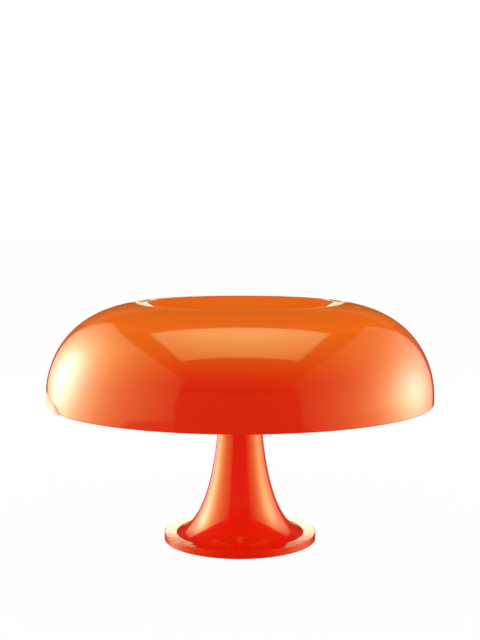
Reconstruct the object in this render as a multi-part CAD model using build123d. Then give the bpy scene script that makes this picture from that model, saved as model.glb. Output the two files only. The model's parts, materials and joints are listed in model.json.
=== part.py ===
from build123d import *
import math
import os

# Mushroom table lamp: a moulded shade with a round recess in its crown, carried on a trumpet
# stem with a disc foot. Millimetres, +Z up, origin on the table under the middle of the foot.
# The cable leaves the foot at the back, towards +Y.

# Foot and stem
pad_proud = 0.8
foot_radius = 107.8
foot_edge_height = 10.3
foot_edge_round = 0.8
foot_wall = 2.5
stem_wall = 3.5
flare_radius = 85.5
flare_angle = 27.0
flare_reach = 52.8
flare_crease_round = 66.0
neck_radius = 30.3
neck_height = 190.0
neck_reach = 38.0
stem_height = 222.0
stem_top_thickness = 4.0

# Base weight, cover, pads
seat_clearance = 0.3
weight_radius = 74.0
weight_top = 44.0
nut_pocket_radius = 15.0
nut_pocket_roof = 22.0
cover_thickness = 1.5
cover_recess = 0.3
cover_gap = 0.3
cover_screw_inset = 10.3
cover_screw_count = 4
cover_screw_radius = 1.5
cover_screw_head_radius = 3.0
cover_screw_head_height = 1.2
cover_screw_length = 7.0
cover_boss_radius = 4.5
pad_radius = 7.0
pad_inset = 17.3
pad_count = 4
pad_sunk = 0.5

# Cable inlet
cable_bore_radius = 2.6
cable_height = 4.9
grommet_neck_radius = 3.6
grommet_flange_radius = 4.6
grommet_flange_thickness = 1.2
channel_width = 8.0
channel_roof = 9.0
clamp_distance = 45.0
clamp_length = 28.0
clamp_width = 9.0
clamp_thickness = 2.0
clamp_fit = 0.3
clamp_screw_spacing = 20.0
clamp_screw_radius = 1.5
clamp_screw_length = 9.0
clamp_screw_head_radius = 3.0
clamp_screw_head_height = 1.2

# Threaded tube and its nuts
tube_radius = 5.0
tube_bore_radius = 3.5
tube_below_nut = 3.0
tube_hole_clearance = 0.3
thread_fit = 0.05
tube_past_nut = 2.0
nut_across_flats = 14.0
nut_thickness = 5.0
washer_radius = 11.0
washer_thickness = 1.5

# Lampholder cluster
cluster_radius = 36.0
cluster_height = 42.0
cluster_wall = 2.5
cluster_floor = 3.0
holder_axis_height = 20.0
holder_pad_reach = 2.0
lid_thickness = 2.0
lid_lip_height = 3.0
lid_lip_wall = 1.6
lid_lip_gap = 0.3
lid_screw_circle = 30.0
lid_screw_radius = 1.5
lid_screw_head_radius = 3.0
lid_screw_head_height = 1.4
lid_screw_length = 10.0
lid_boss_radius = 4.2
block_side = 20.0
block_height = 11.0
block_round = 1.0
block_screw_length = 8.0
way_depth = 3.0
way_clearance = 0.1
terminal_screw_radius = 1.6
terminal_screw_proud = 0.5
lead_radius = 1.2
lead_bend = 6.5

# Lampholders and their metal parts
holder_count = 4
holder_length = 46.0
holder_radius = 13.0
holder_mouth_radius = 14.0
holder_mouth_length = 9.0
holder_groove_depth = 0.8
holder_groove_width = 1.6
holder_groove_count = 3
holder_groove_pitch = 5.0
sleeve_bore_radius = 7.2
sleeve_wall = 0.5
sleeve_length = 15.0
socket_depth = 22.0
socket_chamber_radius = 6.9
nipple_radius = 5.0
nipple_bore_radius = 3.5
nipple_in_holder = 8.0
holder_nut_thickness = 3.0
nipple_past_nut = 1.0
contact_radius = 4.0
contact_thickness = 0.8

# Bulbs
bulb_length = 78.0
globe_radius = 22.5
cap_thread_radius = 6.85
cap_skirt_radius = 8.5
cap_length = 25.0
cap_skirt_length = 4.0
cap_flare_length = 2.5
cap_wall = 0.4
insulator_height = 3.5
insulator_tip_radius = 3.4
bulb_contact_radius = 2.3
bulb_contact_height = 1.0
bulb_seated_depth = 20.0
glass_wall = 0.8
globe_join_angle = 50.0
mouth_bevel = 3.0

# Upper funnel, the dished piece inside the crown's opening
funnel_wall = 3.0
funnel_depth = 68.3
funnel_floor_inset = 4.0
funnel_floor_round = 5.0
funnel_rim_angle = 30.0
funnel_rim_reach = 50.0
funnel_neck_reach = 20.0
funnel_neck_lean = 8.0
skirt_wall = 2.7
skirt_height = 6.0
skirt_clearance = 0.3
flange_width = 6.7
flange_thickness = 2.0
seam_gap = 0.3
hook_count = 8
hook_width = 12.0
hook_tongue = 2.6
hook_catch = 1.8
hook_height = 2.2
hook_clearance = 0.3

# Shade
shade_radius = 270.0
shade_wall = 3.2
opening_radius = 144.0
crown_core_radius = 68.3
crown_rise = 129.5
crown_power_out = 3.18
crown_power_up = 1.94
straight_wall = 10.7
rim_round = 1.2
ledge_width = 4.0
lip_width = 12.0
lip_thickness = 3.6
crown_points = 14
crown_step = 0.001

# Heights that follow from the sizes above
foot_base = pad_proud
foot_top = foot_base + foot_edge_height
foot_roof = foot_top - foot_wall
cover_bottom = foot_base + cover_recess
cover_top = cover_bottom + cover_thickness
weight_bottom = cover_top + seat_clearance
weight_web_bottom = foot_base + nut_pocket_roof
stem_top = foot_base + stem_height
cluster_top = stem_top + cluster_height
lid_top = cluster_top + lid_thickness
holder_axis = stem_top + holder_axis_height
funnel_floor_top = lid_top + funnel_wall
flange_top = funnel_floor_top + funnel_depth
cable_axis = foot_base + cable_height
foot_inner_radius = foot_radius - foot_wall
cover_screw_circle = foot_inner_radius - cover_screw_inset
pad_circle = foot_inner_radius - pad_inset
grommet_inner_end = foot_inner_radius - way_clearance - grommet_flange_thickness
cover_screw_start = 180.0 / cover_screw_count
tube_low = weight_web_bottom - washer_thickness - nut_thickness - tube_below_nut
tube_high = stem_top + cluster_floor + washer_thickness + nut_thickness + tube_past_nut
cluster_inner_radius = cluster_radius - cluster_wall
holder_turn = 360.0 / holder_count
holder_base = cluster_radius + holder_pad_reach
holder_mouth = holder_base + holder_length
socket_floor = holder_mouth - socket_depth
bulb_tip = holder_mouth - bulb_seated_depth
cap_start = bulb_contact_height + insulator_height
block_bottom = cluster_top - block_height
lead_height = cluster_top - block_height / 2
lead_start = block_side / 2 - way_depth
skirt_inner = cluster_radius + skirt_clearance
skirt_outer = skirt_inner + skirt_wall
funnel_floor_radius = skirt_outer - funnel_floor_inset
flange_outer = opening_radius - seam_gap
funnel_rim_radius = flange_outer - flange_width
lip_inner = opening_radius - ledge_width
lip_bottom = flange_top - flange_thickness - lip_thickness


def crown_angle(radius):
    """The superellipse's angle at a radius of the crown's outer surface."""
    share = (radius - crown_core_radius) / (shade_radius - crown_core_radius)
    return math.acos(share ** (crown_power_out / 2))


opening_angle = crown_angle(opening_radius)
lip_angle = crown_angle(opening_radius + lip_width)
widest_height = flange_top - crown_rise * math.sin(opening_angle) ** (2 / crown_power_up)
rim_height = widest_height - straight_wall


def revolved(face):
    """A face in the XZ plane turned once about Z."""
    return revolve(face, Axis.Z, 360)


def face_of(*edges):
    """The face that a closed run of edges encloses."""
    return make_face(Wire(list(edges)))


def ring_of(shape, count, start=0.0):
    """Copies of a shape turned about Z, evenly spaced."""
    return [Rot(0, 0, start + 360.0 * i / count) * shape for i in range(count)]


def joined(shapes):
    """One shape from several that touch or overlap."""
    total = shapes[0]
    for shape in shapes[1:]:
        total = total + shape
    return total


def cut_all(shape, tools):
    """A shape with each tool taken out of it."""
    for tool in tools:
        shape = shape - tool
    return shape


def upright(radius, low, high, x=0.0):
    """A vertical cylinder between two heights, its middle at a distance along +X."""
    return Pos(x, 0, (low + high) / 2) * Cylinder(radius, high - low)


def outward(radius, near, far, height):
    """A cylinder lying along +X between two distances from the lamp's axis."""
    return Pos((near + far) / 2, 0, height) * Rot(0, 90, 0) * Cylinder(radius, far - near)


def hex_nut(across_flats, thickness, hole_radius):
    """A hexagon nut on Z, its underside at zero."""
    body = extrude(RegularPolygon(across_flats / 2, 6, major_radius=False), thickness)
    return body - Pos(0, 0, thickness / 2) * Cylinder(hole_radius, 2 * thickness)


def countersunk_screw(radius, head_radius, head_height, length):
    """A countersunk screw that points down from a flat head at zero."""
    return revolved(face_of(*Polyline(
        (0, 0, 0), (head_radius, 0, 0), (radius, 0, -head_height),
        (radius, 0, radius - length), (0, 0, -length), close=True).edges()))


def flare_curve(shift):
    """The stem's trumpet curve in the XZ plane, drawn in from the outside by a wall."""
    lean = math.radians(flare_angle)
    low_r = flare_radius - shift * math.sin(lean)
    low_z = foot_top - shift * math.cos(lean)
    high_r = neck_radius - shift
    high_z = foot_base + neck_height
    return Bezier(
        (low_r, 0, low_z),
        (low_r - flare_reach * math.cos(lean), 0, low_z + flare_reach * math.sin(lean)),
        (high_r, 0, high_z - neck_reach),
        (high_r, 0, high_z))


def trumpet(shift, low, high):
    """A solid whose side is the trumpet curve, drawn in by a wall, between two heights."""
    curve = flare_curve(shift)
    start, end = curve @ 0, curve @ 1
    lines = Polyline((end.X, 0, end.Z), (end.X, 0, stem_top), (0, 0, stem_top),
                     (0, 0, foot_base), (start.X, 0, foot_base), (start.X, 0, start.Z))
    solid = revolved(face_of(curve, *lines.edges()))
    return solid & upright(foot_radius, low, high)


def foot_and_stem():
    """The hollow moulding: disc foot, trumpet stem and a closed top with the tube's hole."""
    disc = upright(foot_radius, foot_base, foot_top)
    disc = fillet(disc.edges().filter_by(GeomType.CIRCLE), foot_edge_round)
    outside = disc + trumpet(0, foot_base, stem_top)
    crease = [e for e in outside.edges().filter_by(GeomType.CIRCLE)
              if abs(e.radius - flare_radius) < foot_edge_round]
    outside = fillet(crease, flare_crease_round)
    hollow = trumpet(stem_wall, foot_base, stem_top - stem_top_thickness)
    hollow = hollow + upright(foot_radius - foot_wall, foot_base - foot_wall, foot_roof)
    shell = outside - hollow
    boss = upright(cover_boss_radius, cover_top, foot_roof, cover_screw_circle)
    shell = joined([shell] + ring_of(boss, cover_screw_count, cover_screw_start))
    shell = cut_all(shell, cover_screws(thread_fit))
    shell = shell - upright(tube_radius + tube_hole_clearance, foot_roof, stem_top + foot_wall)
    return shell - grommet_outline(grommet_neck_radius + way_clearance, foot_base - foot_wall,
                                   foot_inner_radius - foot_wall, foot_radius + foot_wall)


def grommet_outline(radius, low, near, far):
    """A tunnel shape along +Y: round on top, straight sides down to a height."""
    depth = far - near
    arch = Pos(0, near + depth / 2, cable_axis) * Rot(90, 0, 0) * Cylinder(radius, depth)
    legs = Pos(0, near + depth / 2, (low + cable_axis) / 2) * Box(
        2 * radius, depth, cable_axis - low)
    return arch + legs


def cable_grommet():
    """The rubber grommet that sits in the foot's notch, flanged inside and outside."""
    low = foot_base + cover_recess
    neck = grommet_outline(grommet_neck_radius, low, foot_inner_radius - way_clearance, foot_radius)
    outer = grommet_outline(grommet_flange_radius, low, foot_radius,
                            foot_radius + grommet_flange_thickness)
    inner = grommet_outline(grommet_flange_radius, low, grommet_inner_end,
                            foot_inner_radius - way_clearance)
    inner = inner & upright(foot_radius, low, foot_roof - way_clearance)
    length = 4 * grommet_flange_thickness + foot_wall
    bore = Pos(0, foot_inner_radius, cable_axis) * Rot(90, 0, 0) * Cylinder(cable_bore_radius, 2 * length)
    return neck + outer + inner - bore


def base_weight():
    """The cast weight that seats in the flare, with the tube's hole, nut pocket and cable way."""
    cast = trumpet(stem_wall + seat_clearance, weight_bottom, foot_base + weight_top)
    cast = cast & upright(weight_radius, weight_bottom, foot_base + weight_top)
    cast = cast - upright(tube_radius + tube_hole_clearance, foot_base, stem_top)
    cast = cast - upright(nut_pocket_radius, foot_base, weight_web_bottom)
    channel = Pos(0, weight_radius / 2, foot_base + channel_roof / 2) * Box(
        channel_width, weight_radius, channel_roof)
    seat = Pos(0, clamp_distance, weight_bottom + clamp_thickness / 2) * Box(
        clamp_length + clamp_fit, clamp_width + clamp_fit, clamp_thickness)
    return cut_all(cast, [channel, seat] + clamp_screws(thread_fit))


def clamp_screws(extra=0.0):
    """The clamp bar's two countersunk screws, heads down, or their seats, larger by extra."""
    screw = Rot(180, 0, 0) * countersunk_screw(
        clamp_screw_radius + extra, clamp_screw_head_radius + extra, clamp_screw_head_height,
        clamp_screw_length)
    return [Pos(side * clamp_screw_spacing / 2, clamp_distance, weight_bottom) * screw
            for side in (-1, 1)]


def cord_clamp():
    """The flat bar under the cable way that grips the cable against the weight."""
    bar = Pos(0, clamp_distance, weight_bottom + clamp_thickness / 2) * Box(
        clamp_length, clamp_width, clamp_thickness)
    bar = fillet(bar.edges().filter_by(Axis.Z), clamp_screw_radius)
    return cut_all(bar, clamp_screws(thread_fit))


def cover_screws(extra=0.0):
    """The base cover's countersunk screws, heads down, or their seats, larger by extra."""
    screw = Rot(180, 0, 0) * countersunk_screw(
        cover_screw_radius + extra, cover_screw_head_radius + extra, cover_screw_head_height,
        cover_screw_length)
    return ring_of(Pos(cover_screw_circle, 0, cover_bottom) * screw, cover_screw_count,
                   cover_screw_start)


def rubber_pads():
    """The pads that the lamp rests on, sunk a little into the cover."""
    return ring_of(upright(pad_radius, 0, cover_bottom + pad_sunk, pad_circle), pad_count)


def base_cover():
    """The disc that closes the foot, notched for the grommet."""
    disc = upright(foot_inner_radius - cover_gap, cover_bottom, cover_top)
    sunk = upright(pad_radius, foot_base, cover_bottom + pad_sunk, pad_circle)
    disc = cut_all(disc, ring_of(sunk, pad_count))
    disc = cut_all(disc, cover_screws(thread_fit))
    depth = foot_inner_radius - grommet_inner_end + cover_gap
    notch = Pos(0, foot_inner_radius - depth / 2, cover_top) * Box(
        2 * (grommet_flange_radius + cover_gap), depth, 2 * foot_edge_height)
    return disc - notch


def threaded_tube():
    """The hollow rod that clamps weight, stem and cluster together and carries the cable."""
    return upright(tube_radius, tube_low, tube_high) - upright(tube_bore_radius, tube_low, tube_high)


def washer(low):
    """A plain washer on the tube, its underside at a height."""
    ring = upright(washer_radius, low, low + washer_thickness)
    return ring - upright(tube_radius + tube_hole_clearance, low, low + washer_thickness)


def tube_nut(low):
    """A hexagon nut on the tube, its underside at a height."""
    return Pos(0, 0, low) * hex_nut(nut_across_flats, nut_thickness, tube_radius + thread_fit)


def cluster_bosses(extra=0.0):
    """The posts at the cluster's wall that take the lid's screws, larger by extra."""
    post = upright(lid_boss_radius + extra, stem_top, cluster_top, lid_screw_circle)
    inside = upright(cluster_radius, stem_top, cluster_top)
    return ring_of(post & inside, holder_count, holder_turn / 2)


def cluster_body():
    """The cast cup on the stem that the lampholders are bolted to, with a flat pad for each."""
    cup = upright(cluster_radius, stem_top, cluster_top)
    pad = outward(holder_radius, 0, cluster_radius + holder_pad_reach, holder_axis)
    cup = joined([cup] + ring_of(pad, holder_count))
    cup = cup - upright(cluster_inner_radius, stem_top + cluster_floor, cluster_top)
    cup = joined([cup] + cluster_bosses())
    spot = outward(nut_across_flats / 2 + cluster_wall, 0, cluster_inner_radius, holder_axis)
    spot = spot & upright(cluster_radius, stem_top + cluster_floor, cluster_top)
    hole = outward(nipple_radius + way_clearance, 0, cluster_radius + 2 * holder_pad_reach,
                   holder_axis)
    cup = cut_all(cup, ring_of(spot, holder_count) + ring_of(hole, holder_count))
    cup = cup - upright(tube_radius + tube_hole_clearance, foot_base, cluster_top)
    return cut_all(cup, lid_screws(thread_fit))


def lid_screws(extra=0.0):
    """The lid's countersunk screws, heads up, or their seats, larger by extra."""
    screw = countersunk_screw(lid_screw_radius + extra, lid_screw_head_radius + extra,
                              lid_screw_head_height, lid_screw_length)
    return ring_of(Pos(lid_screw_circle, 0, lid_top) * screw, holder_count, holder_turn / 2)


def block_screw(extra=0.0):
    """The screw through the lid's middle that holds the terminal block."""
    return Pos(0, 0, lid_top) * countersunk_screw(
        lid_screw_radius + extra, lid_screw_head_radius + extra, lid_screw_head_height,
        block_screw_length)


def cluster_lid():
    """The cluster's flat lid, with a locating lip cut away round the screw posts."""
    disc = upright(cluster_radius, cluster_top, lid_top)
    lip_radius = cluster_inner_radius - lid_lip_gap
    lip = upright(lip_radius, cluster_top - lid_lip_height, cluster_top)
    lip = lip - upright(lip_radius - lid_lip_wall, cluster_top - lid_lip_height, cluster_top)
    lip = cut_all(lip, cluster_bosses(lid_lip_gap))
    return cut_all(disc + lip, lid_screws(thread_fit) + [block_screw(thread_fit)])


def terminal_screws(extra=0.0):
    """The block's four clamping screws, driven from below onto the leads."""
    low = block_bottom - terminal_screw_proud
    screw = upright(terminal_screw_radius + extra, low, lead_height - lead_radius,
                    lead_start + terminal_screw_radius)
    return ring_of(screw, holder_count)


def terminal_block():
    """The square block under the lid that shares the supply among the four lampholders."""
    block = Pos(0, 0, block_bottom + block_height / 2) * Box(block_side, block_side, block_height)
    block = fillet(block.edges().filter_by(Axis.Z), block_round)
    way = outward(lead_radius + way_clearance, lead_start, block_side, lead_height)
    tools = ring_of(way, holder_count) + terminal_screws(way_clearance)
    return cut_all(block, tools + [block_screw(thread_fit)])


def holder_leads():
    """Twin leads from the block, down and out through the nipples, one for each lampholder."""
    drop_radius = block_side / 2 + lead_bend + lead_radius
    route = FilletPolyline(
        (lead_start, 0, lead_height), (drop_radius, 0, lead_height),
        (drop_radius, 0, holder_axis), (holder_base + nipple_in_holder, 0, holder_axis),
        radius=lead_bend)
    start = Plane(origin=route @ 0, z_dir=route % 0)
    lead = sweep(start * Circle(lead_radius), path=route)
    return ring_of(lead, holder_count)


def holder_nipples():
    """The hollow nipples that bolt the lampholders to the cluster."""
    inner_end = cluster_inner_radius - holder_nut_thickness - nipple_past_nut
    nipple = outward(nipple_radius, inner_end, holder_base + nipple_in_holder, holder_axis)
    nipple = nipple - outward(nipple_bore_radius, 0, holder_base + holder_length, holder_axis)
    return ring_of(nipple, holder_count)


def holder_nuts():
    """The nuts inside the cluster that hold the nipples."""
    nut = hex_nut(nut_across_flats, holder_nut_thickness, nipple_radius + thread_fit)
    nut = Pos(cluster_inner_radius - holder_nut_thickness, 0, holder_axis) * Rot(0, 90, 0) * nut
    return ring_of(nut, holder_count)


def lampholder():
    """One lampholder along +X: a grooved moulding, bored from the mouth for sleeve and bulb."""
    body = outward(holder_radius, holder_base, holder_mouth, holder_axis)
    body = body + outward(holder_mouth_radius, holder_mouth - holder_mouth_length, holder_mouth,
                          holder_axis)
    rims = body.edges().filter_by(GeomType.CIRCLE).group_by(Axis.X)
    body = chamfer(rims[-1] + rims[0], holder_groove_depth)
    for i in range(holder_groove_count):
        near = holder_base + (i + 1) * holder_groove_pitch
        groove = outward(holder_mouth_radius, near, near + holder_groove_width, holder_axis)
        body = body - (groove - outward(holder_radius - holder_groove_depth, 0,
                                        holder_mouth, holder_axis))
    sleeve_outer = sleeve_bore_radius + sleeve_wall
    bore = outward(socket_chamber_radius, socket_floor, holder_mouth, holder_axis)
    seat = outward(sleeve_outer + thread_fit, holder_mouth - mouth_bevel - sleeve_length,
                   holder_mouth, holder_axis)
    bevel = Pos(holder_mouth - mouth_bevel / 2, 0, holder_axis) * Rot(0, 90, 0) * Cone(
        sleeve_outer, sleeve_outer + mouth_bevel / 2, mouth_bevel)
    back = outward(nipple_radius + thread_fit, holder_base, holder_base + nipple_in_holder,
                   holder_axis)
    return cut_all(body, [bore, seat, bevel, back])


def socket_sleeves():
    """The brass sleeves that the bulbs' caps screw into."""
    near = holder_mouth - mouth_bevel - sleeve_length
    sleeve = outward(sleeve_bore_radius + sleeve_wall, near, near + sleeve_length, holder_axis)
    sleeve = sleeve - outward(sleeve_bore_radius, near, near + sleeve_length, holder_axis)
    return ring_of(sleeve, holder_count)


def centre_contacts():
    """The contacts at the sockets' floors, each a disc with a raised middle."""
    disc = outward(contact_radius, socket_floor, socket_floor + contact_thickness, holder_axis)
    nub = outward(bulb_contact_radius, socket_floor, bulb_tip - seat_clearance, holder_axis)
    return ring_of(disc + nub, holder_count)


def along_x(points):
    """A solid turned about the bulb's axis from (distance, radius) points, base on the axis."""
    line = [(s, 0, r) for s, r in points]
    flat = face_of(*Polyline(*line, close=True).edges())
    return Pos(bulb_tip, 0, holder_axis) * revolve(flat, Axis.X, 360)


def bulb_contact():
    """The solder contact at the cap's end."""
    return outward(bulb_contact_radius, bulb_tip, bulb_tip + bulb_contact_height, holder_axis)


def bulb_insulator():
    """The glass cone between the contact and the cap."""
    return along_x([(bulb_contact_height, 0), (bulb_contact_height, insulator_tip_radius),
                    (cap_start, cap_thread_radius - cap_wall), (cap_start, 0)])


def bulb_cap():
    """The thin metal screw cap, flared to its skirt."""
    flare = cap_length - cap_skirt_length - cap_flare_length
    outer = [(cap_start, cap_thread_radius), (flare, cap_thread_radius),
             (flare + cap_flare_length, cap_skirt_radius), (cap_length, cap_skirt_radius)]
    inner = [(s, r - cap_wall) for s, r in reversed(outer)]
    return along_x(outer + inner)


def bulb_globe():
    """The hollow glass: a neck in the cap's skirt that swells into a sphere."""
    centre = bulb_length - globe_radius
    start = cap_length - cap_skirt_length
    join = math.radians(globe_join_angle)
    neck = cap_skirt_radius - cap_wall - way_clearance

    def side(shift):
        radius = globe_radius - shift
        meet = (centre - radius * math.cos(join), 0, radius * math.sin(join))
        lean = (math.sin(join), 0, math.cos(join))
        stem = Spline((cap_length, 0, neck - shift), meet, tangents=[(1, 0, 0), lean])
        ball = ThreePointArc(
            meet, (centre - radius * math.cos(top_angle), 0, radius * math.sin(top_angle)),
            (centre + radius, 0, 0))
        return stem, ball

    top_angle = (math.pi + join) / 2
    outer_stem, outer_ball = side(0)
    inner_stem, inner_ball = side(glass_wall)
    mouth = Polyline(outer_stem @ 0, (start, 0, neck), (start, 0, neck - glass_wall),
                     inner_stem @ 0)
    tip = Line(outer_ball @ 1, inner_ball @ 1)
    flat = face_of(outer_stem, outer_ball, tip, inner_ball, inner_stem, *mouth.edges())
    return Pos(bulb_tip, 0, holder_axis) * revolve(flat, Axis.X, 360)


def funnel_curve(shift, low_r, low_z):
    """The dish's side curve, from its low end to the rim, drawn away from the dish by a wall."""
    lean = math.radians(funnel_rim_angle)
    sink = math.radians(funnel_neck_lean)
    rim_r = funnel_rim_radius + shift * math.sin(lean)
    rim_z = flange_top - shift * math.cos(lean)
    if shift:
        rim_r = rim_r + (flange_top - flange_thickness - rim_z) / math.tan(lean)
        rim_z = flange_top - flange_thickness
    return Bezier(
        (low_r, 0, low_z),
        (low_r + funnel_neck_reach * math.sin(sink), 0, low_z + funnel_neck_reach * math.cos(sink)),
        (rim_r - funnel_rim_reach * math.cos(lean), 0, rim_z - funnel_rim_reach * math.sin(lean)),
        (rim_r, 0, rim_z))


def upper_funnel():
    """The dish in the crown: flat rim flange, flared wall, floor, skirt and snap hooks."""
    inner = funnel_curve(0, funnel_floor_radius, funnel_floor_top + funnel_floor_round)
    outer = funnel_curve(funnel_wall, skirt_outer, lid_top + funnel_floor_round)
    corner_sag = funnel_floor_round * (1 - math.sqrt(0.5))
    corner = ThreePointArc(
        inner @ 0,
        (funnel_floor_radius - corner_sag, 0, funnel_floor_top + corner_sag),
        (funnel_floor_radius - funnel_floor_round, 0, funnel_floor_top))
    rim = Polyline(inner @ 1, (flange_outer, 0, flange_top),
                   (flange_outer, 0, flange_top - flange_thickness), outer @ 1)
    base = Polyline(outer @ 0, (skirt_outer, 0, lid_top - skirt_height),
                    (skirt_inner, 0, lid_top - skirt_height), (skirt_inner, 0, lid_top),
                    (0, 0, lid_top), (0, 0, funnel_floor_top), corner @ 1)
    dish = revolved(face_of(inner, corner, outer, *rim.edges(), *base.edges()))
    return joined([dish] + snap_hooks())


def snap_hooks():
    """The tongues under the flange, each with a catch that holds the shade's lip."""
    face = lip_inner - hook_clearance
    catch = lip_bottom - hook_clearance
    low = catch - hook_height
    flat = face_of(*Polyline(
        (face - hook_tongue, 0, flange_top - flange_thickness),
        (face, 0, flange_top - flange_thickness / 2), (face, 0, catch),
        (face + hook_catch, 0, catch), (face + hook_catch, 0, catch - hook_height / 2),
        (face - hook_tongue / 2, 0, low), (face - hook_tongue, 0, low), close=True).edges())
    turn = math.degrees(hook_width / face)
    hook = revolve(flat, Axis.Z, turn)
    return ring_of(hook, hook_count, -turn / 2)


def crown_point(angle, shift=0.0):
    """A point of the crown's superellipse, drawn in along its normal by a wall."""
    out = 2 / crown_power_out
    up = 2 / crown_power_up
    width = shade_radius - crown_core_radius
    c, s = math.cos(angle), math.sin(angle)
    r = crown_core_radius + width * c ** out
    z = widest_height + crown_rise * s ** up
    if shift:
        slope_r = width * out * c ** (out - 1) * s
        slope_z = crown_rise * up * s ** (up - 1) * c
        size = math.hypot(slope_r, slope_z)
        r = r - shift * slope_z / size
        z = z - shift * slope_r / size
    return r, 0, z


def crown_tangent(angle):
    """The crown's direction at an angle, from the wall towards the opening."""
    r0, _, z0 = crown_point(angle - crown_step)
    r1, _, z1 = crown_point(angle + crown_step)
    return r1 - r0, 0, z1 - z0


def crown_curve(shift, end):
    """The crown's curve in the XZ plane, from the straight wall up to an angle."""
    points = [crown_point(max(end * i / crown_points, crown_step), shift)
              for i in range(crown_points + 1)]
    points[0] = (shade_radius - shift, 0, widest_height)
    return Spline(*points, tangents=[(0, 0, 1), crown_tangent(end)])


def shade():
    """The mushroom moulding: straight rim, crown, and a rebated lip round the opening."""
    outer = crown_curve(0, opening_angle)
    inner = crown_curve(shade_wall, lip_angle)
    rim = Polyline(inner @ 0, (shade_radius - shade_wall, 0, rim_height),
                   (shade_radius, 0, rim_height), outer @ 0)
    lip = Polyline(outer @ 1, (opening_radius, 0, flange_top - flange_thickness),
                   (lip_inner, 0, flange_top - flange_thickness), (lip_inner, 0, lip_bottom),
                   (opening_radius, 0, lip_bottom), inner @ 1)
    shell = revolved(face_of(outer, inner, *rim.edges(), *lip.edges()))
    low = shell.edges().filter_by(GeomType.CIRCLE).group_by(Axis.Z)[0]
    return fillet(low, rim_round)


def write(name, shape):
    """One STEP file for a node, its solids kept apart."""
    solids = shape if isinstance(shape, list) else [shape]
    solids = [solid for item in solids for solid in item.solids()]
    whole = solids[0] if len(solids) == 1 else Compound(children=solids)
    export_step(whole, os.path.join("parts", name + ".step"))


os.makedirs("parts", exist_ok=True)
pieces = {
    "foot_and_stem": foot_and_stem(),
    "base_weight": base_weight(),
    "base_cover": base_cover(),
    "cover_screws": cover_screws(),
    "rubber_pads": rubber_pads(),
    "cable_grommet": cable_grommet(),
    "cord_clamp": cord_clamp(),
    "clamp_screws": clamp_screws(),
    "threaded_tube": threaded_tube(),
    "lower_washer": washer(weight_web_bottom - washer_thickness),
    "lower_nut": tube_nut(weight_web_bottom - washer_thickness - nut_thickness),
    "cluster_body": cluster_body(),
    "cluster_washer": washer(stem_top + cluster_floor),
    "cluster_nut": tube_nut(stem_top + cluster_floor + washer_thickness),
    "cluster_lid": cluster_lid(),
    "lid_screws": lid_screws(),
    "terminal_block": terminal_block(),
    "terminal_screws": terminal_screws(),
    "block_screw": block_screw(),
    "holder_leads": holder_leads(),
    "holder_nipples": holder_nipples(),
    "holder_nuts": holder_nuts(),
    "socket_sleeves": socket_sleeves(),
    "centre_contacts": centre_contacts(),
    "upper_funnel": upper_funnel(),
    "shade": shade(),
}
for i in range(holder_count):
    turned = Rot(0, 0, i * holder_turn)
    pieces["lampholder_%d" % (i + 1)] = turned * lampholder()
    pieces["bulb_%d_globe" % (i + 1)] = turned * bulb_globe()
    pieces["bulb_%d_cap" % (i + 1)] = turned * bulb_cap()
    pieces["bulb_%d_insulator" % (i + 1)] = turned * bulb_insulator()
    pieces["bulb_%d_contact" % (i + 1)] = turned * bulb_contact()
for name, shape in pieces.items():
    write(name, shape)
print("flange top %.2f, rim %.2f, widest %.2f" % (flange_top, rim_height, widest_height))
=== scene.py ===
"""A mushroom table lamp in glossy moulded plastic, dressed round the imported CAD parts.

The shapes' lengths are millimetres, as in the part's source, and become metres in `placed`.
Materials, lamps and the camera are in metres. Heights are above the table. The photograph
looks along +Y; the cable leaves at +Y.
"""
import json
import math

import bpy
import numpy as np
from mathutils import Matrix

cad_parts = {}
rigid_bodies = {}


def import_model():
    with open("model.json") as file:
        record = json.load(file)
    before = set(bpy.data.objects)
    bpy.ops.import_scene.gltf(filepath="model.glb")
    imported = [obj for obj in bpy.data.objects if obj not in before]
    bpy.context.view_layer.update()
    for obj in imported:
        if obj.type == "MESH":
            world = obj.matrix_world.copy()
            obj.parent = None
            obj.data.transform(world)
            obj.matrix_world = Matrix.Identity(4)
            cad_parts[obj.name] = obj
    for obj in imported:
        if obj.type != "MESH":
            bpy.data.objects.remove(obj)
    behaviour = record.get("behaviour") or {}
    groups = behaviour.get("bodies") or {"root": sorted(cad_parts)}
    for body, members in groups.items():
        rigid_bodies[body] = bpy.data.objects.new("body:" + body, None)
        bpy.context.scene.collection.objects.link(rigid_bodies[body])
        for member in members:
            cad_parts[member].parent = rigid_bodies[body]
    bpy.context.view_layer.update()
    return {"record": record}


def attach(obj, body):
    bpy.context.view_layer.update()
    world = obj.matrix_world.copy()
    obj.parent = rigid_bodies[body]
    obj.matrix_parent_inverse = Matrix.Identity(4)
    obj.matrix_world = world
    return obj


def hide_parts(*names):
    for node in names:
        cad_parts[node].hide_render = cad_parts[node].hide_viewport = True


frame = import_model()

METRE = 0.001
TINY = 1e-6

# How finely curves and turned pieces are divided, how near a rounding its holding point
# stands, and the turn past which an edge is sharp
AROUND, SMALL_AROUND, BOSS_AROUND, ROOM_AROUND = 296, 96, 32, 64
CORNER_STEPS, CROWN_STEPS, CROWN_START, CAP_STEPS, HOOK_STEPS = 7, 130, 1e-4, 100, 7
HOLD = 0.25
SHARP_ANGLE = math.radians(38)

# Roundings that several pieces share
FINE_ROUND, SOFT_ROUND = 0.3, 1.0

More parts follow.
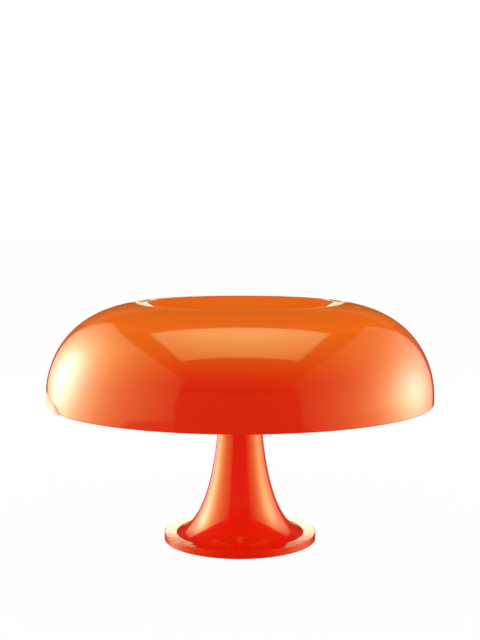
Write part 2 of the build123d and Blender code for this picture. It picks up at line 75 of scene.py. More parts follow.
# Foot and stem
FOOT_BASE, FOOT_TOP, FOOT_ROOF = 0.8, 11.1, 8.6
FOOT_RADIUS, FOOT_INNER, FOOT_ROUND = 107.8, 105.3, 0.8
FLARE_RADIUS, FLARE_LEAN, FLARE_REACH = 89.0, math.radians(15.85), 48.1
CREASE_REACH = 2.5
NECK_RADIUS, NECK_Z, NECK_REACH = 30.3, 190.8, 51.0
STEM_WALL, STEM_TOP, STEM_CEILING, STEM_HOLE = 3.5, 222.8, 218.8, 5.3
STEM_ROUND = 0.6
BOSS_CIRCLE, BOSS_RADIUS, BOSS_HOLE, BOSS_BOTTOM, BOSS_SUNK = 95.0, 4.5, 1.55, 2.6, 0.5
BOSS_COUNT, BOSS_START = 4, math.pi / 4
NOTCH_RADIUS, NOTCH_Z, NOTCH_LOW, NOTCH_PAST = 3.7, 5.7, -1.0, 2.0

# Shade
SHADE_RADIUS, SHADE_WALL, RIM_Z, RIM_ROUND = 270.0, 3.2, 200.89, 1.2
CORE_RADIUS, CROWN_RISE, WIDEST_Z = 68.3, 129.5, 211.59
POWER_OUT, POWER_UP = 3.18, 1.94
OPENING, LIP_INNER, LIP_OUTER, LIP_LOW, LEDGE_Z = 144.0, 140.0, 156.0, 332.5, 336.1
EDGE_ROUND, LIP_ROUND = 0.45, 0.8

# Dish
FLANGE_TOP, FLANGE_LOW, FLANGE_OUTER, FLANGE_INNER = 338.1, 336.1, 143.7, 137.0
BEVEL_INNER, BEVEL_LOW = 131.0, 337.1
FLOOR_TOP, FLOOR_LOW, FLOOR_RADIUS, FLOOR_ROUND = 269.8, 266.8, 35.0, 5.0
FLOOR_EASE, SHOULDER_ROUND, RIM_BEAD, FLANGE_ROUND = 1.5, 5.0, 0.6, 0.5
SKIRT_INNER, SKIRT_OUTER, SKIRT_LOW, SKIRT_ROUND = 36.3, 39.0, 260.8, 0.6
DISH_WALL, DISH_LEAN, DISH_REACH = 3.0, math.radians(30), 50.0
NECK_LEAN, NECK_RUN = math.radians(8), 20.0
HOOK_COUNT, HOOK_FACE, HOOK_WIDTH = 8, 139.7, 12.0
HOOK_TONGUE, HOOK_CATCH, HOOK_CATCH_Z, HOOK_LOW = 2.6, 1.8, 332.2, 330.0
HOOK_SUNK, HOOK_LIP = 1.0, 1.1

# Lampholders and bulbs, measured out from the lamp's axis
HOLDERS, AXIS_Z, HOLDER_BASE, HOLDER_MOUTH = 4, 242.8, 38.0, 84.0
HOLDER_RADIUS, MOUTH_RADIUS, MOUTH_LENGTH, GROOVE_DEPTH = 13.0, 14.0, 9.0, 0.8
GROOVE_WIDTH, GROOVE_PITCH, GROOVE_ROUND, GROOVES = 1.6, 5.0, 0.25, 3
SLEEVE_SEAT, SLEEVE_DEPTH, MOUTH_BEVEL, MOUTH_ROUND = 7.75, 15.0, 3.0, 0.4
SOCKET_FLOOR, SOCKET_RADIUS, NIPPLE_RADIUS, NIPPLE_DEPTH = 62.0, 6.9, 5.05, 8.0
BULB_TIP, BULB_LENGTH, GLOBE_RADIUS, GLASS_WALL = 64.0, 78.0, 22.5, 0.8
CAP_START, CAP_END, CAP_SKIRT, CAP_FLARE, CAP_WALL = 4.5, 25.0, 4.0, 2.5, 0.4
THREAD_RADIUS, SKIRT_RADIUS, THREAD_PITCH, THREAD_DEPTH = 6.85, 8.5, 2.82, 0.55
FLARE_STEP, CAP_ROUND = 0.4, 0.8
GLOBE_JOIN, GLASS_NECK, GLASS_PULL = math.radians(50), 8.0, 0.4

# The plastic's colours, two of them painted light, and in metres the heights between which they
# change
# Painted light: the stem's brighter red makes up for the shade's shadow; the crown's orange is a
# painted lit top
STEM_RED_PAINTED_LIGHTER, SHADE_RED = (0.86, 0.011, 0.0003), (0.80, 0.014, 0.0002)
CROWN_PAINTED_LIGHT_ORANGE, CLOUD_SHIFT = (0.96, 0.155, 0.001), 0.02
PAINTED_STEM_LIGHT_LOW, PAINTED_STEM_LIGHT_HIGH, PAINTED_CROWN_LIGHT_LOW, PAINTED_CROWN_LIGHT_HIGH = 0.18, 0.21, 0.245, 0.325

# The Mix node's sockets for colours, which share their names with those for numbers
MIX_SHARE, MIX_LOW, MIX_HIGH, MIX_RESULT = 0, 6, 7, 2

# Table and dark room, in millimetres; TABLE_PLAIN is the share of plain white in view
TABLE_RADIUS, TABLE_AROUND, TABLE_WHITE, TABLE_PLAIN = 30000.0, SMALL_AROUND, 0.9, 0.97
ROOM_RADIUS, ROOM_LOW, ROOM_HIGH, ROOM_GLOW = 2500.0, 0.3, 2600.0, 0.04

# Light: its colours, the ways that lamps face, and how a cloth's colour turns to its core's
WORLD_LIGHT = 0.66
WARM, AMBER, GLOW = (1.0, 0.96, 0.80), (1.0, 0.85, 0.25), (1.0, 0.45, 0.20)
TAIL, CORE, BACK = (1.0, 0.95, 0.65), (1.0, 0.98, 0.92), (1.0, 0.97, 0.72)
DOWN, UP = (0, 0, 0), (math.pi, 0, 0)
TO_RIGHT, TO_LEFT, TO_FRONT = (0, -math.pi / 2, 0), (0, math.pi / 2, 0), (-math.pi / 2, 0, 0)
CORE_FROM, CORE_TO, CORE_AT_TABLE, CORE_HEIGHT = 0.25, 0.8, 0.4, 0.5

# Camera: in pixels, the photograph's height and the focal length and rise that fit it; the
# sensor is in millimetres, the eye's place in metres and the tilt down in degrees
PHOTO_TALL, FOCAL, RISE, SENSOR = 640, 1138.7, 60, 36
EYE, TILT = (0, -1.5869, 0.4491), 7.912


def line(*points, steps=1):
    """Straight runs through points, each run divided into equal steps."""
    points = np.array(points, float)
    share = np.linspace(0, 1, steps + 1)[1:, None]
    runs = [a + share * (b - a) for a, b in zip(points, points[1:])]
    return np.concatenate([points[:1]] + runs)


def bezier(a, b, c, d, steps=90):
    """A cubic curve: the ends a and d, with handles b and c, weighted by t's cubic terms."""
    t = np.linspace(0, 1, steps + 1)[:, None]
    a, b, c, d = (np.array(p, float) for p in (a, b, c, d))
    return (1 - t) ** 3 * a + 3 * (1 - t) ** 2 * t * b + 3 * (1 - t) * t * t * c + t ** 3 * d


def arc(centre, radius, start, end, steps=24):
    """Points at a radius from a centre, from one angle to another."""
    a = np.linspace(start, end, steps + 1)
    return np.stack([centre[0] + radius * np.cos(a), centre[1] + radius * np.sin(a)], 1)


def trimmed(run, start, end):
    """A run with a length taken off each end, and a holding point just inside each cut."""
    along = np.concatenate([[0], np.cumsum(np.hypot(*np.diff(run, axis=0).T))])
    cuts = [start, start + HOLD, along[-1] - end - HOLD, along[-1] - end]
    if cuts[1] >= cuts[2]:
        cuts = [cuts[0], cuts[3]]
    middle = along[(along > cuts[0] + HOLD) & (along < cuts[-1] - HOLD)]
    at = np.unique(np.concatenate([cuts, middle]))
    return np.stack([np.interp(at, along, run[:, k]) for k in (0, 1)], 1)


def outline(runs, rounds, closed=True):
    """Runs joined end to end; corner k, after run k, is a circular arc that reaches rounds[k].

    The arc is a weighted quadratic: a(1-t)^2 + 2wt(1-t)c + bt^2 over the same sum of weights,
    with w the cosine of half the turn.
    """
    count = len(runs)
    before = [rounds[k - 1] if closed or k else 0 for k in range(count)]
    cut = [trimmed(run, before[k], rounds[k]) for k, run in enumerate(runs)]
    path = []
    for k, run in enumerate(cut):
        path.append(run)
        if not rounds[k]:
            continue
        a, c, b = run[-1], runs[k][-1], cut[(k + 1) % count][0]
        t = np.linspace(0, 1, CORNER_STEPS + int(rounds[k]) + 1)[1:-1, None]
        into, away = (c - a) / np.linalg.norm(c - a), (b - c) / np.linalg.norm(b - c)
        w = math.sqrt(max(0.0, (1 + into @ away) / 2))
        low, mid, high = (1 - t) ** 2, 2 * w * t * (1 - t), t * t
        path.append((low * a + mid * c + high * b) / (low + mid + high))
    path = np.concatenate(path)
    apart = np.hypot(*(path - np.roll(path, 1, axis=0)).T) > TINY
    apart[0] = apart[0] or not closed
    return path[apart]


def in_scene(name, data):
    """A new object for a mesh, lamp or camera, linked into the scene."""
    thing = bpy.data.objects.new(name, data)
    bpy.context.scene.collection.objects.link(thing)
    return thing


def placed(name, points, faces):
    """A new object from millimetre points and its faces."""
    mesh = bpy.data.meshes.new(name)
    mesh.from_pydata(np.asarray(points) * METRE, [], faces)
    return in_scene(name, mesh)


def grid_faces(rows, columns, wrap_rows, wrap_columns, offset=0):
    """Quads of a grid of points, numbered row by row, joined round where it wraps."""
    i = np.arange(rows if wrap_rows else rows - 1)[:, None]
    j = np.arange(columns if wrap_columns else columns - 1)[None, :]
    k, m = (i + 1) % rows, (j + 1) % columns
    quads = np.stack(np.broadcast_arrays(
        i * columns + j, i * columns + m, k * columns + m, k * columns + j), -1)
    return quads.reshape(-1, 4) + offset


def turned(profile, around=AROUND):
    """Points and faces of a closed (radius, height) profile turned about Z.

    Each point is (r cos a, r sin a, z). Points on the axis become one pole each, and the
    run of the profile along the axis has no faces. A profile that runs clockwise gives faces
    that point inwards, so these are turned over.
    """
    profile = np.asarray(profile, float)
    on_axis = profile[:, 0] < TINY
    if on_axis.any():
        first = np.where(on_axis & ~np.roll(on_axis, -1))[0][0]
        profile = np.roll(profile, -first, axis=0)
        last = np.where(profile[:, 0] < TINY)[0][1]
        profile = profile[:last + 1]
    a = np.linspace(0, 2 * math.pi, around, endpoint=False)
    ring = profile if not on_axis.any() else profile[1:-1]
    r, z = ring[:, :1], ring[:, 1:]
    points = np.stack([r * np.cos(a), r * np.sin(a), z + 0 * a], -1).reshape(-1, 3)
    faces = grid_faces(len(ring), around, not on_axis.any(), True).tolist()
    if on_axis.any():
        j = np.arange(around)
        k, count, end = (j + 1) % around, len(points), (len(ring) - 1) * around
        points = np.concatenate([points, [[0, 0, profile[0, 1]], [0, 0, profile[-1, 1]]]])
        faces += np.stack([k, j, 0 * j + count], 1).tolist()
        faces += np.stack([end + j, end + k, 0 * j + count + 1], 1).tolist()
    area = np.sum(profile[:, 0] * np.roll(profile[:, 1], -1)
                  - np.roll(profile[:, 0], -1) * profile[:, 1])
    if area < 0:
        faces = [face[::-1] for face in faces]
    return points, faces


def joined(*parts):
    """Several (points, faces) pairs as one."""
    points, faces, offset = [], [], 0
    for part_points, part_faces in parts:
        points.append(part_points)
        faces += [[offset + v for v in face] for face in part_faces]
        offset += len(part_points)
    return np.concatenate(points), faces


def moved(part, angle=0.0, lay_x=False, shift=(0, 0, 0)):
    """A (points, faces) pair, laid from Z onto +X if asked, then shifted and turned about Z."""
    points, faces = part
    if lay_x:
        points = points[:, [2, 0, 1]]
    points = points + np.array(shift, float)
    c, s = math.cos(angle), math.sin(angle)
    x, y = points[:, 0] * c - points[:, 1] * s, points[:, 0] * s + points[:, 1] * c
    return np.stack([x, y, points[:, 2]], 1), faces


def flare(shift):
    """The trumpet's curve from the foot up, drawn in from the outside by a wall."""
    low = np.array([FLARE_RADIUS - shift * math.sin(FLARE_LEAN),
                    FOOT_TOP - shift * math.cos(FLARE_LEAN)])
    handle = low + FLARE_REACH * np.array([-math.cos(FLARE_LEAN), math.sin(FLARE_LEAN)])
    high = np.array([NECK_RADIUS - shift, NECK_Z])
    return bezier(low, handle, high - (0, NECK_REACH), high)


def foot_and_stem_profile():
    """The hollow moulding: disc foot, trumpet, neck and a closed top with the tube's hole."""
    inner = flare(STEM_WALL)
    start = np.array([np.interp(FOOT_ROOF, inner[:, 1], inner[:, 0]), FOOT_ROOF])
    inner = np.concatenate([[start], inner[inner[:, 1] > FOOT_ROOF + HOLD]])
    neck_inner = NECK_RADIUS - STEM_WALL
    runs = [
        line((FOOT_INNER, FOOT_BASE), (FOOT_RADIUS, FOOT_BASE)),
        line((FOOT_RADIUS, FOOT_BASE), (FOOT_RADIUS, FOOT_TOP), steps=4),
        line((FOOT_RADIUS, FOOT_TOP), (FLARE_RADIUS, FOOT_TOP), steps=6),
        np.concatenate([flare(0), line((NECK_RADIUS, NECK_Z), (NECK_RADIUS, STEM_TOP),
                                       steps=6)[1:]]),
        line((NECK_RADIUS, STEM_TOP), (STEM_HOLE, STEM_TOP), steps=4),
        line((STEM_HOLE, STEM_TOP), (STEM_HOLE, STEM_CEILING)),
        line((STEM_HOLE, STEM_CEILING), (neck_inner, STEM_CEILING)),
        np.concatenate([line((neck_inner, STEM_CEILING), (neck_inner, NECK_Z), steps=4)[:-1],
                        inner[::-1]]),
        line(start, (FOOT_INNER, FOOT_ROOF)),
        line((FOOT_INNER, FOOT_ROOF), (FOOT_INNER, FOOT_BASE)),
    ]
    rounds = [FOOT_ROUND, FOOT_ROUND, CREASE_REACH, STEM_ROUND, FINE_ROUND, 0, SOFT_ROUND, 0,
              SOFT_ROUND, FINE_ROUND]
    return outline(runs, rounds)


def crown(shift, last):
    """The crown's superellipse, drawn in along its normal by a wall, up to a radius.

    r = core + (R - core) cos(a)^(2/p), z = widest + rise sin(a)^(2/q).
    """
    out, up, width = 2 / POWER_OUT, 2 / POWER_UP, SHADE_RADIUS - CORE_RADIUS
    end = math.acos(((last - CORE_RADIUS) / width) ** (1 / out))
    a = np.linspace(CROWN_START, end, CROWN_STEPS)
    c, s = np.cos(a), np.sin(a)
    slope_r, slope_z = width * out * c ** (out - 1) * s, CROWN_RISE * up * s ** (up - 1) * c
    size = np.hypot(slope_r, slope_z)
    r = CORE_RADIUS + width * c ** out - shift * slope_z / size
    z = WIDEST_Z + CROWN_RISE * s ** up - shift * slope_r / size
    return np.stack([r, z], 1)


def shade_profile():
    """Straight rim, crown, and the rebated lip round the opening."""
    outer, inner = crown(0, OPENING), crown(SHADE_WALL, LIP_OUTER)
    outer[-1] = OPENING, FLANGE_TOP
    wall = SHADE_RADIUS - SHADE_WALL
    runs = [
        line((wall, RIM_Z), (SHADE_RADIUS, RIM_Z), steps=2),
        np.concatenate([line((SHADE_RADIUS, RIM_Z), (SHADE_RADIUS, WIDEST_Z), steps=4)[:-1],
                        outer]),
        line((OPENING, FLANGE_TOP), (OPENING, LEDGE_Z)),
        line((OPENING, LEDGE_Z), (LIP_INNER, LEDGE_Z)),
        line((LIP_INNER, LEDGE_Z), (LIP_INNER, LIP_LOW)),
        line((LIP_INNER, LIP_LOW), (OPENING, LIP_LOW), inner[-1]),
        np.concatenate([inner[::-1],
                        line((wall, WIDEST_Z), (wall, RIM_Z), steps=4)[1:]]),
    ]
    return outline(runs, [RIM_ROUND, EDGE_ROUND, 0, FINE_ROUND, FINE_ROUND, LIP_ROUND,
                          RIM_ROUND])


def dish_curve(shift, low_r, low_z):
    """The dish's side from its low end to the rim, set away from the dish by a wall."""
    c, s = math.cos(DISH_LEAN), math.sin(DISH_LEAN)
    rim = np.array([FLANGE_INNER + shift * s, FLANGE_TOP - shift * c])
    if shift:
        rim = np.array([rim[0] + (FLANGE_LOW - rim[1]) * c / s, FLANGE_LOW])
    low = np.array([low_r, low_z])
    neck = low + NECK_RUN * np.array([math.sin(NECK_LEAN), math.cos(NECK_LEAN)])
    return bezier(low, neck, rim - DISH_REACH * np.array([c, s]), rim, steps=100)


def dish_profile():
    """Flat rim flange, flared wall, floor, and the skirt that sits over the cluster's lid."""
    inner = dish_curve(0, FLOOR_RADIUS, FLOOR_TOP + FLOOR_ROUND)
    inner = inner + (inner[:, 1:] - inner[0, 1]) / (inner[-1, 1] - inner[0, 1]) * (
        np.array([BEVEL_INNER, BEVEL_LOW]) - inner[-1])
    outer = dish_curve(DISH_WALL, SKIRT_OUTER, FLOOR_LOW + FLOOR_ROUND)
    floor = arc((FLOOR_RADIUS - FLOOR_ROUND, FLOOR_TOP + FLOOR_ROUND), FLOOR_ROUND,
                -math.pi / 2, 0, steps=12)
    runs = [
        np.concatenate([line((0, FLOOR_TOP), floor[0], steps=6)[:-1], floor]),
        inner,
        line((BEVEL_INNER, BEVEL_LOW), (FLANGE_OUTER, FLANGE_TOP), steps=4),
        line((FLANGE_OUTER, FLANGE_TOP), (FLANGE_OUTER, FLANGE_LOW)),
        line((FLANGE_OUTER, FLANGE_LOW), outer[-1]),
        outer[::-1],
        line((SKIRT_OUTER, FLOOR_LOW + FLOOR_ROUND), (SKIRT_OUTER, SKIRT_LOW), steps=3),
        line((SKIRT_OUTER, SKIRT_LOW), (SKIRT_INNER, SKIRT_LOW)),
        line((SKIRT_INNER, SKIRT_LOW), (SKIRT_INNER, FLOOR_LOW), steps=2),
        line((SKIRT_INNER, FLOOR_LOW), (0, FLOOR_LOW), steps=4),
    ]
    rounds = [FLOOR_EASE, SHOULDER_ROUND, RIM_BEAD, FINE_ROUND, FLANGE_ROUND, SOFT_ROUND,
              SKIRT_ROUND, SKIRT_ROUND, FINE_ROUND, 0]
    return outline(runs, rounds, closed=False)


def hook():
    """One tongue with its catch: its outline carried round the axis and capped at both ends."""
    face, top = HOOK_FACE, FLANGE_LOW
    flat = np.array([
        (face - HOOK_TONGUE, top), (face, top + HOOK_SUNK), (face, HOOK_CATCH_Z),
        (face + HOOK_CATCH, HOOK_CATCH_Z), (face + HOOK_CATCH, HOOK_CATCH_Z - HOOK_LIP),
        (face - HOOK_TONGUE / 2, HOOK_LOW), (face - HOOK_TONGUE, HOOK_LOW)])
    half = HOOK_WIDTH / face / 2
    a = np.linspace(-half, half, HOOK_STEPS)[:, None]
    points = np.stack([flat[:, 0] * np.cos(a), flat[:, 0] * np.sin(a),
                       flat[:, 1] + 0 * a], -1).reshape(-1, 3)
    count = len(flat)
    faces = grid_faces(len(a), count, False, True).tolist()
    faces += [list(range(count))[::-1], list(range(len(points) - count, len(points)))]
    return points, faces


def ring_of(part, count, start=0.0):
    """A part repeated evenly round the lamp's axis."""
    return joined(*[moved(part, start + 2 * math.pi * k / count) for k in range(count)])


def boss():
    """A screw post under the foot's top, bored from below."""
    top = FOOT_ROOF + BOSS_SUNK
    runs = [line((BOSS_HOLE, BOSS_BOTTOM), (BOSS_RADIUS, BOSS_BOTTOM)),
            line((BOSS_RADIUS, BOSS_BOTTOM), (BOSS_RADIUS, top)),
            line((BOSS_RADIUS, top), (BOSS_HOLE, top)),
            line((BOSS_HOLE, top), (BOSS_HOLE, BOSS_BOTTOM))]
    post = turned(outline(runs, [FINE_ROUND, 0, 0, 0]), BOSS_AROUND)
    return moved(post, shift=(BOSS_CIRCLE, 0, 0))


def holder_profile():
    """A lampholder along its own axis: grooved body, collar at the mouth, stepped bore."""
    base, mouth, rim = HOLDER_BASE, HOLDER_MOUTH, HOLDER_MOUTH - MOUTH_LENGTH
    groove = HOLDER_RADIUS - GROOVE_DEPTH
    runs = [line((NIPPLE_RADIUS, base), (HOLDER_RADIUS, base))]
    rounds = [GROOVE_DEPTH]
    last = base
    for k in range(GROOVES):
        near = base + (k + 1) * GROOVE_PITCH
        runs += [line((HOLDER_RADIUS, last), (HOLDER_RADIUS, near)),
                 line((HOLDER_RADIUS, near), (groove, near)),
                 line((groove, near), (groove, near + GROOVE_WIDTH)),
                 line((groove, near + GROOVE_WIDTH), (HOLDER_RADIUS, near + GROOVE_WIDTH))]
        rounds += [GROOVE_ROUND] * 4
        last = near + GROOVE_WIDTH
    seat = mouth - MOUTH_BEVEL
    back = base + NIPPLE_DEPTH
    stops = [(HOLDER_RADIUS, last), (HOLDER_RADIUS, rim), (MOUTH_RADIUS, rim),
             (MOUTH_RADIUS, mouth), (SLEEVE_SEAT + MOUTH_BEVEL / 2, mouth), (SLEEVE_SEAT, seat),
             (SLEEVE_SEAT, seat - SLEEVE_DEPTH), (SOCKET_RADIUS, seat - SLEEVE_DEPTH),
             (SOCKET_RADIUS, SOCKET_FLOOR), (0, SOCKET_FLOOR), (0, back), (NIPPLE_RADIUS, back),
             (NIPPLE_RADIUS, base)]
    runs += [line(a, b) for a, b in zip(stops, stops[1:])]
    rounds += [FINE_ROUND, FINE_ROUND, GROOVE_DEPTH, MOUTH_ROUND, FINE_ROUND]
    return outline(runs, rounds + [0] * (len(runs) - len(rounds)))


def glass_side(shift):
    """The bulb's side: out of the cap, swelling on a smooth curve into the sphere."""
    radius, centre = GLOBE_RADIUS - shift, BULB_LENGTH - GLOBE_RADIUS
    c, s = math.cos(GLOBE_JOIN), math.sin(GLOBE_JOIN)
    neck = np.array([GLASS_NECK - shift, CAP_END])
    meet = np.array([radius * s, centre - radius * c])
    run = np.linalg.norm(meet - neck) * GLASS_PULL
    stem = bezier(neck, neck + (0, run), meet - run * np.array([c, s]), meet, steps=16)
    ball = arc((0, centre), radius, GLOBE_JOIN - math.pi / 2, math.pi / 2, steps=40)
    return np.concatenate([stem[:-1], ball])


def globe_profile():
    """The hollow glass, with its neck held inside the cap's skirt."""
    outer, inner = glass_side(0), glass_side(GLASS_WALL)
    start = CAP_END - CAP_SKIRT
    mouth = line((GLASS_NECK - GLASS_WALL, CAP_END), (GLASS_NECK - GLASS_WALL, start),
                 (GLASS_NECK, start), (GLASS_NECK, CAP_END))
    outer[-1, 0] = inner[-1, 0] = 0
    return np.concatenate([outer, inner[::-1], mouth[1:-1]])


def cap():
    """The screw cap: r = thread radius less a helical wave that fades at both ends.

    The wave is depth (1 - cos(2 pi s / pitch - a)) / 2, s the distance and a the angle. The
    skirt flares at the end, and the inner face follows at the wall's thickness.
    """
    flare_start = CAP_END - CAP_SKIRT - CAP_FLARE
    s = np.linspace(CAP_START, flare_start, CAP_STEPS)[:, None]
    a = np.linspace(0, 2 * math.pi, SMALL_AROUND, endpoint=False)[None, :]
    fade = np.clip(np.minimum(s - CAP_START, flare_start - s) / THREAD_PITCH, 0, 1)
    wave = (1 - np.cos(2 * math.pi * s / THREAD_PITCH - a)) / 2
    r = THREAD_RADIUS - THREAD_DEPTH * wave * fade * fade * (3 - 2 * fade)
    skirt = (SKIRT_RADIUS, CAP_END - CAP_SKIRT)
    end = outline([line((THREAD_RADIUS, flare_start), (THREAD_RADIUS, flare_start + FLARE_STEP),
                        skirt),
                   line(skirt, (SKIRT_RADIUS, CAP_END))], [CAP_ROUND, 0], closed=False)[1:]
    r = np.concatenate([r, np.repeat(end[:, :1], SMALL_AROUND, 1)])
    s = np.concatenate([s, end[:, 1:]])
    r = np.concatenate([r, (r - CAP_WALL)[::-1]])
    s = np.concatenate([s, s[::-1]])
    points = np.stack([r * np.cos(a), r * np.sin(a), s + 0 * a], -1).reshape(-1, 3)
    return points, grid_faces(len(s), SMALL_AROUND, True, True).tolist()


class Wire:
    """A shader socket; Python's operators on it add Math nodes."""

    def __init__(self, look, socket):
        self.look, self.socket = look, socket

    def math(self, operation, *values):
        """A Math node of an operation on sockets or numbers."""
        return self.look.node("ShaderNodeMath", {"operation": operation},
                              dict(enumerate(values)))

    def __add__(self, other):
        return self.math("ADD", self, other)

    def __sub__(self, other):
        return self.math("SUBTRACT", self, other)

    def __rsub__(self, other):
        return self.math("SUBTRACT", other, self)

    def __mul__(self, other):
        return self.math("MULTIPLY", self, other)

    def __rtruediv__(self, other):
        return self.math("DIVIDE", other, self)

    def __pow__(self, other):
        return self.math("POWER", self, other)

    __radd__, __rmul__ = __add__, __mul__

    def either(self, other):
        """The larger of two sockets, which for yes and no is yes where one of them is."""
        return self.math("MAXIMUM", self, other)

    def rise(self, low, high):
        """0 below low, 1 above high, and smooth between."""
        return self.look.node("ShaderNodeMapRange", {"interpolation_type": "SMOOTHSTEP"},
                              {"Value": self, "From Min": low, "From Max": high})

    def out(self, name):
        """Another output of the same node, by its name or number."""
        return Wire(self.look, self.socket.node.outputs[name])


class Look:
    """The nodes of one material, lamp or world, which is their owner."""

    def __init__(self, owner):
        owner.use_nodes = True
        self.owner, self.tree = owner, owner.node_tree
        self.tree.nodes.clear()

    def node(self, kind, settings=None, sockets=None):
        """A node of a type, its settings put first, then its sockets' values or links.

        A tuple is a colour, which gets its alpha here.
        """
        made = self.tree.nodes.new(kind)
        for key, value in (settings or {}).items():
            setattr(made, key, value)
        for key, value in (sockets or {}).items():
            socket = made.inputs[key]
            if isinstance(value, Wire):
                self.tree.links.new(value.socket, socket)
            else:
                socket.default_value = (*value, 1) if isinstance(value, tuple) else value
        return Wire(self, next((s for s in made.outputs if s.enabled), None))

    def place(self):
        """The piece's own position, in metres."""
        return self.node("ShaderNodeTexCoord").out("Object")

    def height(self):
        """The height above the table at rest, in metres."""
        return self.node("ShaderNodeSeparateXYZ", sockets={"Vector": self.place()}).out("Z")

    def noise(self, scale, detail=2.0, roughness=0.5):
        """Soft noise of a number of features to the metre, from 0 to 1."""
        return self.node("ShaderNodeTexNoise", sockets={
            "Vector": self.place(), "Scale": scale, "Detail": detail,
            "Roughness": roughness}).out("Fac")

    def blend(self, share, low, high):
        """One colour turning to another with a share; each is a tuple or a link."""
        return self.node("ShaderNodeMix", {"data_type": "RGBA"}, {
            MIX_SHARE: share, MIX_LOW: low, MIX_HIGH: high}).out(MIX_RESULT)

    def bump(self, height, strength, distance, **under):
        """A relief of a depth in metres, over another one if it is given as Normal."""
        return self.node("ShaderNodeBump", sockets={
            "Height": height, "Strength": strength, "Distance": distance, **under})

    def seen(self):
        """1 for what the camera sees straight, in gloss or through glass, and 0 for the rest."""
        rays = self.node("ShaderNodeLightPath")
        return rays.out("Is Camera Ray").either(
            rays.out("Is Glossy Ray")).either(rays.out("Is Transmission Ray"))

    def surface(self, **sockets):
        """The Principled surface, by socket name with _ for a space, as the material's last."""
        named = {key.replace("_", " "): value for key, value in sockets.items()}
        shader = self.node("ShaderNodeBsdfPrincipled", sockets=named)
        self.node("ShaderNodeOutputMaterial", sockets={"Surface": shader})
        return self.owner


def new_look(name):
    """A new material's nodes."""
    return Look(bpy.data.materials.new(name))


def orange_plastic():
    """Glossy moulded plastic: deep red low down, orange crown as painted light, faintly wavy."""
    look = new_look("orange_plastic")
    cloud = look.noise(scale=9, detail=3)
    # Painted light: the crown turns to a painted lit orange, the stem to a brighter red against the
    # shade's shadow
    high = (look.height() + (cloud - 0.5) * CLOUD_SHIFT).rise(PAINTED_CROWN_LIGHT_LOW, PAINTED_CROWN_LIGHT_HIGH)
    low = look.height().rise(PAINTED_STEM_LIGHT_LOW, PAINTED_STEM_LIGHT_HIGH)
    waves = look.bump(look.noise(scale=26), strength=0.05, distance=0.002)
    grain = look.bump(look.noise(scale=900), strength=0.012, distance=0.0004, Normal=waves)
    smear = look.noise(scale=14, detail=4)
    return look.surface(
        Base_Color=look.blend(high, look.blend(low, STEM_RED_PAINTED_LIGHTER, SHADE_RED), CROWN_PAINTED_LIGHT_ORANGE),
        Roughness=0.07 + 0.02 * smear, Normal=grain, IOR=1.63,
        Specular_Tint=(0.45, 1.0, 0.30), Coat_Weight=0.12, Coat_Roughness=0.4)


def cast_iron():
    """Rough sand-cast iron."""
    look = new_look("cast_iron")
    grit, patch = look.noise(scale=700, detail=4, roughness=0.65), look.noise(scale=30, detail=4)
    return look.surface(
        Base_Color=look.blend(patch, (0.045, 0.043, 0.042), (0.09, 0.082, 0.075)),
        Metallic=0.6, Roughness=0.55 + 0.3 * grit,
        Normal=look.bump(grit, strength=0.5, distance=0.0006))


def cast_aluminium():
    """Die-cast aluminium with a fine blasted skin."""
    look = new_look("cast_aluminium")
    grain, patch = look.noise(scale=1500, detail=3, roughness=0.6), look.noise(scale=22, detail=4)
    return look.surface(
        Base_Color=look.blend(patch, (0.52, 0.53, 0.54), (0.66, 0.67, 0.68)),
        Metallic=1.0, Roughness=0.38 + 0.16 * grain,
        Normal=look.bump(grain, strength=0.25, distance=0.0003))


def opal_glass():
    """White flashed glass, glossy outside and milky within."""
    look = new_look("opal_glass")
    milk = look.noise(scale=35, detail=3)
    return look.surface(
        Base_Color=look.blend(milk, (0.86, 0.855, 0.83), (0.93, 0.925, 0.91)),
        Roughness=0.10 + 0.05 * milk, Coat_Weight=0.6, Coat_Roughness=0.05,
        Normal=look.bump(look.noise(scale=60), strength=0.02, distance=0.001))


def bright_metal(name, low, high, roughness, streaks=260):
    """Turned or plated metal: streaks across its length and a spread of roughness."""
    look = new_look(name)
    streak = look.noise(scale=streaks, detail=3)
    return look.surface(
        Base_Color=look.blend(look.noise(scale=40, detail=3), low, high), Metallic=1.0,
        Roughness=roughness * (0.7 + 0.6 * streak),
        Normal=look.bump(streak, strength=0.08, distance=0.0003))


def dull(name, low, high, roughness, grains, relief, coat=0.0):
    """A matt or satin moulded finish with a fine grain."""
    look = new_look(name)
    grain, patch = look.noise(scale=grains, detail=3, roughness=0.6), look.noise(scale=18, detail=4)
    return look.surface(
        Base_Color=look.blend(patch, low, high), Roughness=roughness + 0.12 * (grain - 0.5),
        Coat_Weight=coat, Coat_Roughness=0.15,
        Normal=look.bump(grain, strength=relief, distance=0.0003))


